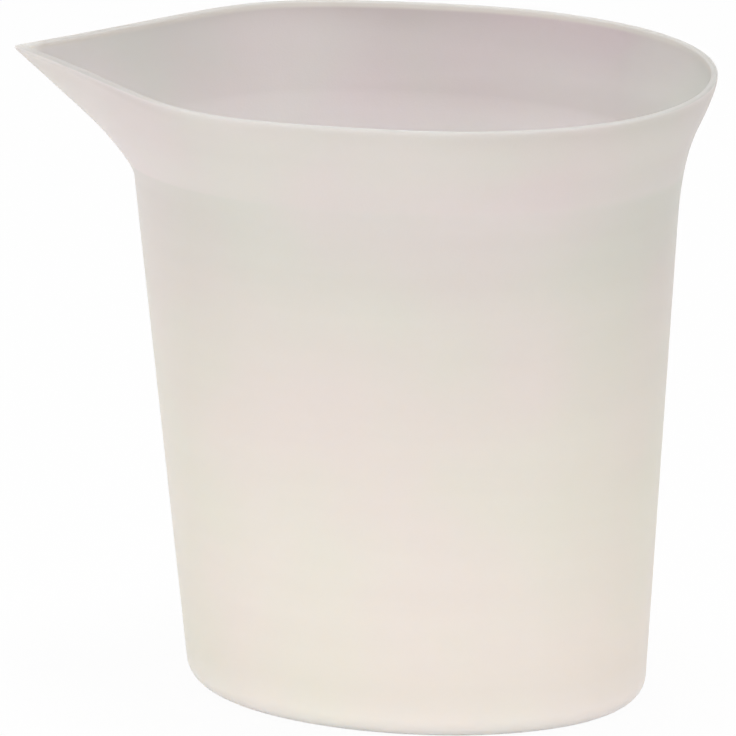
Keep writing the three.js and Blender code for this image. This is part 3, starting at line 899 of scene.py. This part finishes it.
def flat_figures(labels):
    """All the figures as one flat mesh: x along the wall, y the height and z the relief."""
    flat = bmesh.new()
    for side, level, words in labels:
        text = bpy.data.curves.new("figure", "FONT")
        text.body = words
        text.size = FIGURE_SIZE
        text.align_x = "LEFT" if side > 0 else "RIGHT"
        text.align_y = "CENTER"
        text.resolution_u = FIGURE_CUTS
        text.extrude = FIGURE_RELIEF - FIGURE_EDGE
        text.bevel_depth = FIGURE_EDGE
        text.bevel_resolution = 1
        figure = bpy.data.objects.new("figure", text)
        bpy.context.scene.collection.objects.link(figure)
        bpy.context.view_layer.update()
        mesh = bpy.data.meshes.new_from_object(figure)
        mesh.transform(Matrix.Translation((side * FIGURE_START, level, 0)))
        flat.from_mesh(mesh)
        bpy.data.objects.remove(figure)
    mesh = bpy.data.meshes.new("flat_figures")
    flat.to_mesh(mesh)
    flat.free()
    return mesh


def figures_tree():
    """The flat figures, bent round the wall."""
    inputs = {"Geometry": "Geometry", "Material": "Material"}
    inputs.update(dict.fromkeys(oval_wall_sizes, "Float"))
    tree, given, made = new_tree("Volume Figures", inputs, {"Geometry": "Geometry"})
    feed(tree, made["Geometry"], wrapped(tree, given, given["Geometry"]))
    return tree


labels = [(-1, level_of(hundreds * 100), f"{hundreds}00") for hundreds in range(1, 5)]
labels.append((-1, level_of(500), "500 ml"))
for cups, words in ((0.5, "1/2"), (1, "1"), (1.5, "1 1/2"), (2, "2 cups")):
    labels.append((1, level_of(cups * CUP_ML), words))
figure_values = {**oval_wall_sizes, "Material": polished_silicone}
figure_mesh = shape_from("volume_numbers", flat_figures(labels), figures_tree(), figure_values)
finished_piece("volume_numbers", figure_mesh)

# The floor. A plain pale studio table that runs out to the horizon, a tenth of a millimetre below the
# foot, so that the two faces don't coincide. The camera sees it and the sky as white, and what is lit by
# it is lit by a pale surface.
FLOOR_REACH = 6.0
FLOOR_LEVEL = -0.0001
FLOOR_WHITENESS = 0.95
FLOOR_COLOUR = (0.92, 0.92, 0.92, 1)
FLOOR_ROUGHNESS = 0.8
floor_mesh = bpy.data.meshes.new("floor")
corners = [(-FLOOR_REACH, -FLOOR_REACH, FLOOR_LEVEL), (FLOOR_REACH, -FLOOR_REACH, FLOOR_LEVEL),
           (FLOOR_REACH, FLOOR_REACH, FLOOR_LEVEL), (-FLOOR_REACH, FLOOR_REACH, FLOOR_LEVEL)]
floor_mesh.from_pydata(corners, [], [(0, 1, 2, 3)])
floor = bpy.data.objects.new("floor", floor_mesh)
bpy.context.scene.collection.objects.link(floor)
floor_material = bpy.data.materials.new("white_table")
floor_material.use_nodes = True
floor_tree = floor_material.node_tree
table = floor_tree.nodes["Principled BSDF"]
table.inputs["Base Color"].default_value = FLOOR_COLOUR
table.inputs["Roughness"].default_value = FLOOR_ROUGHNESS


def seen_directly(tree):
    """One where the camera, a reflection or a clear body shows a surface, else zero."""
    rays = add_node(tree, "ShaderNodeLightPath").outputs
    seen = number(tree, "MAXIMUM", rays["Is Camera Ray"], rays["Is Glossy Ray"])
    return number(tree, "MAXIMUM", seen, rays["Is Transmission Ray"])


white = add_node(floor_tree, "ShaderNodeEmission")
share_white = number(floor_tree, "MULTIPLY", seen_directly(floor_tree), FLOOR_WHITENESS)
shown_table = add_node(floor_tree, "ShaderNodeMixShader",
                       {0: share_white, 1: table.outputs[0], 2: white.outputs[0]})
floor_tree.links.new(shown_table.outputs[0], floor_tree.nodes["Material Output"].inputs["Surface"])
floor_mesh.materials.append(floor_material)

# The light. A pale sky all round, bright at the horizon and dim overhead, which itself looks white, a
# weak soft lamp near the camera, and a soft lamp straight above that reaches down into the cup.
SKY_AT_HORIZON = 1.37
SKY_OVERHEAD = 0.25
LAMP_AIM = Vector((0, 0, 0.06))
world = bpy.data.worlds.new("studio")
bpy.context.scene.world = world
world.use_nodes = True
world_tree = world.node_tree
direction = parts_of(world_tree, add_node(world_tree, "ShaderNodeTexCoord").outputs["Generated"])
overhead = share_of(world_tree, direction["Z"], 0.0, 1.0)
sky = world_tree.nodes["Background"]
sky.inputs["Color"].default_value = (1, 1, 1, 1)
sky_strength = number_between(world_tree, overhead, SKY_AT_HORIZON, SKY_OVERHEAD)
feed(world_tree, sky.inputs["Strength"], sky_strength)
white_sky = add_node(world_tree, "ShaderNodeBackground")
white_sky.inputs["Color"].default_value = (1, 1, 1, 1)
shown_sky = add_node(world_tree, "ShaderNodeMixShader",
                     {0: seen_directly(world_tree), 1: sky.outputs[0], 2: white_sky.outputs[0]})
world_tree.links.new(shown_sky.outputs[0], world_tree.nodes["World Output"].inputs["Surface"])


def soft_lamp(name, place, size, watts):
    """A round lamp that faces the middle of the cup."""
    data = bpy.data.lights.new(name, "AREA")
    data.shape = "DISK"
    data.size = size
    data.energy = watts
    lamp = bpy.data.objects.new(name, data)
    lamp.location = place
    lamp.rotation_euler = (LAMP_AIM - lamp.location).to_track_quat("-Z", "Y").to_euler()
    bpy.context.scene.collection.objects.link(lamp)


soft_lamp("key", (-0.12, -1.3, 0.25), size=0.6, watts=3)
soft_lamp("top", (0.0, 0.0, 1.5), size=0.5, watts=7.5)

# The camera. It looks slightly down on the cup from far away, a little to the right of square on, and
# is rolled by two degrees, as the photograph's was.
AZIMUTH = math.radians(6.862)
ELEVATION = math.radians(14.171)
ROLL = math.radians(1.951)
DISTANCE = 2.087
LENS_MM = 542.6
AIM = Vector((-0.00565, -0.00068, 0.0614))
backward = Vector((math.sin(AZIMUTH) * math.cos(ELEVATION),
                   -math.cos(AZIMUTH) * math.cos(ELEVATION), math.sin(ELEVATION)))
level_right = Vector((math.cos(AZIMUTH), math.sin(AZIMUTH), 0))
level_up = backward.cross(level_right)
right = level_right * math.cos(ROLL) + level_up * math.sin(ROLL)
up = level_up * math.cos(ROLL) - level_right * math.sin(ROLL)
camera_data = bpy.data.cameras.new("camera")
camera_data.lens = LENS_MM
camera = bpy.data.objects.new("camera", camera_data)
bpy.context.scene.collection.objects.link(camera)
camera.matrix_world = Matrix.Translation(AIM + backward * DISTANCE) @ Matrix(
    (right, up, backward)).transposed().to_4x4()
bpy.context.scene.camera = camera

bpy.context.scene.view_settings.view_transform = "Standard"
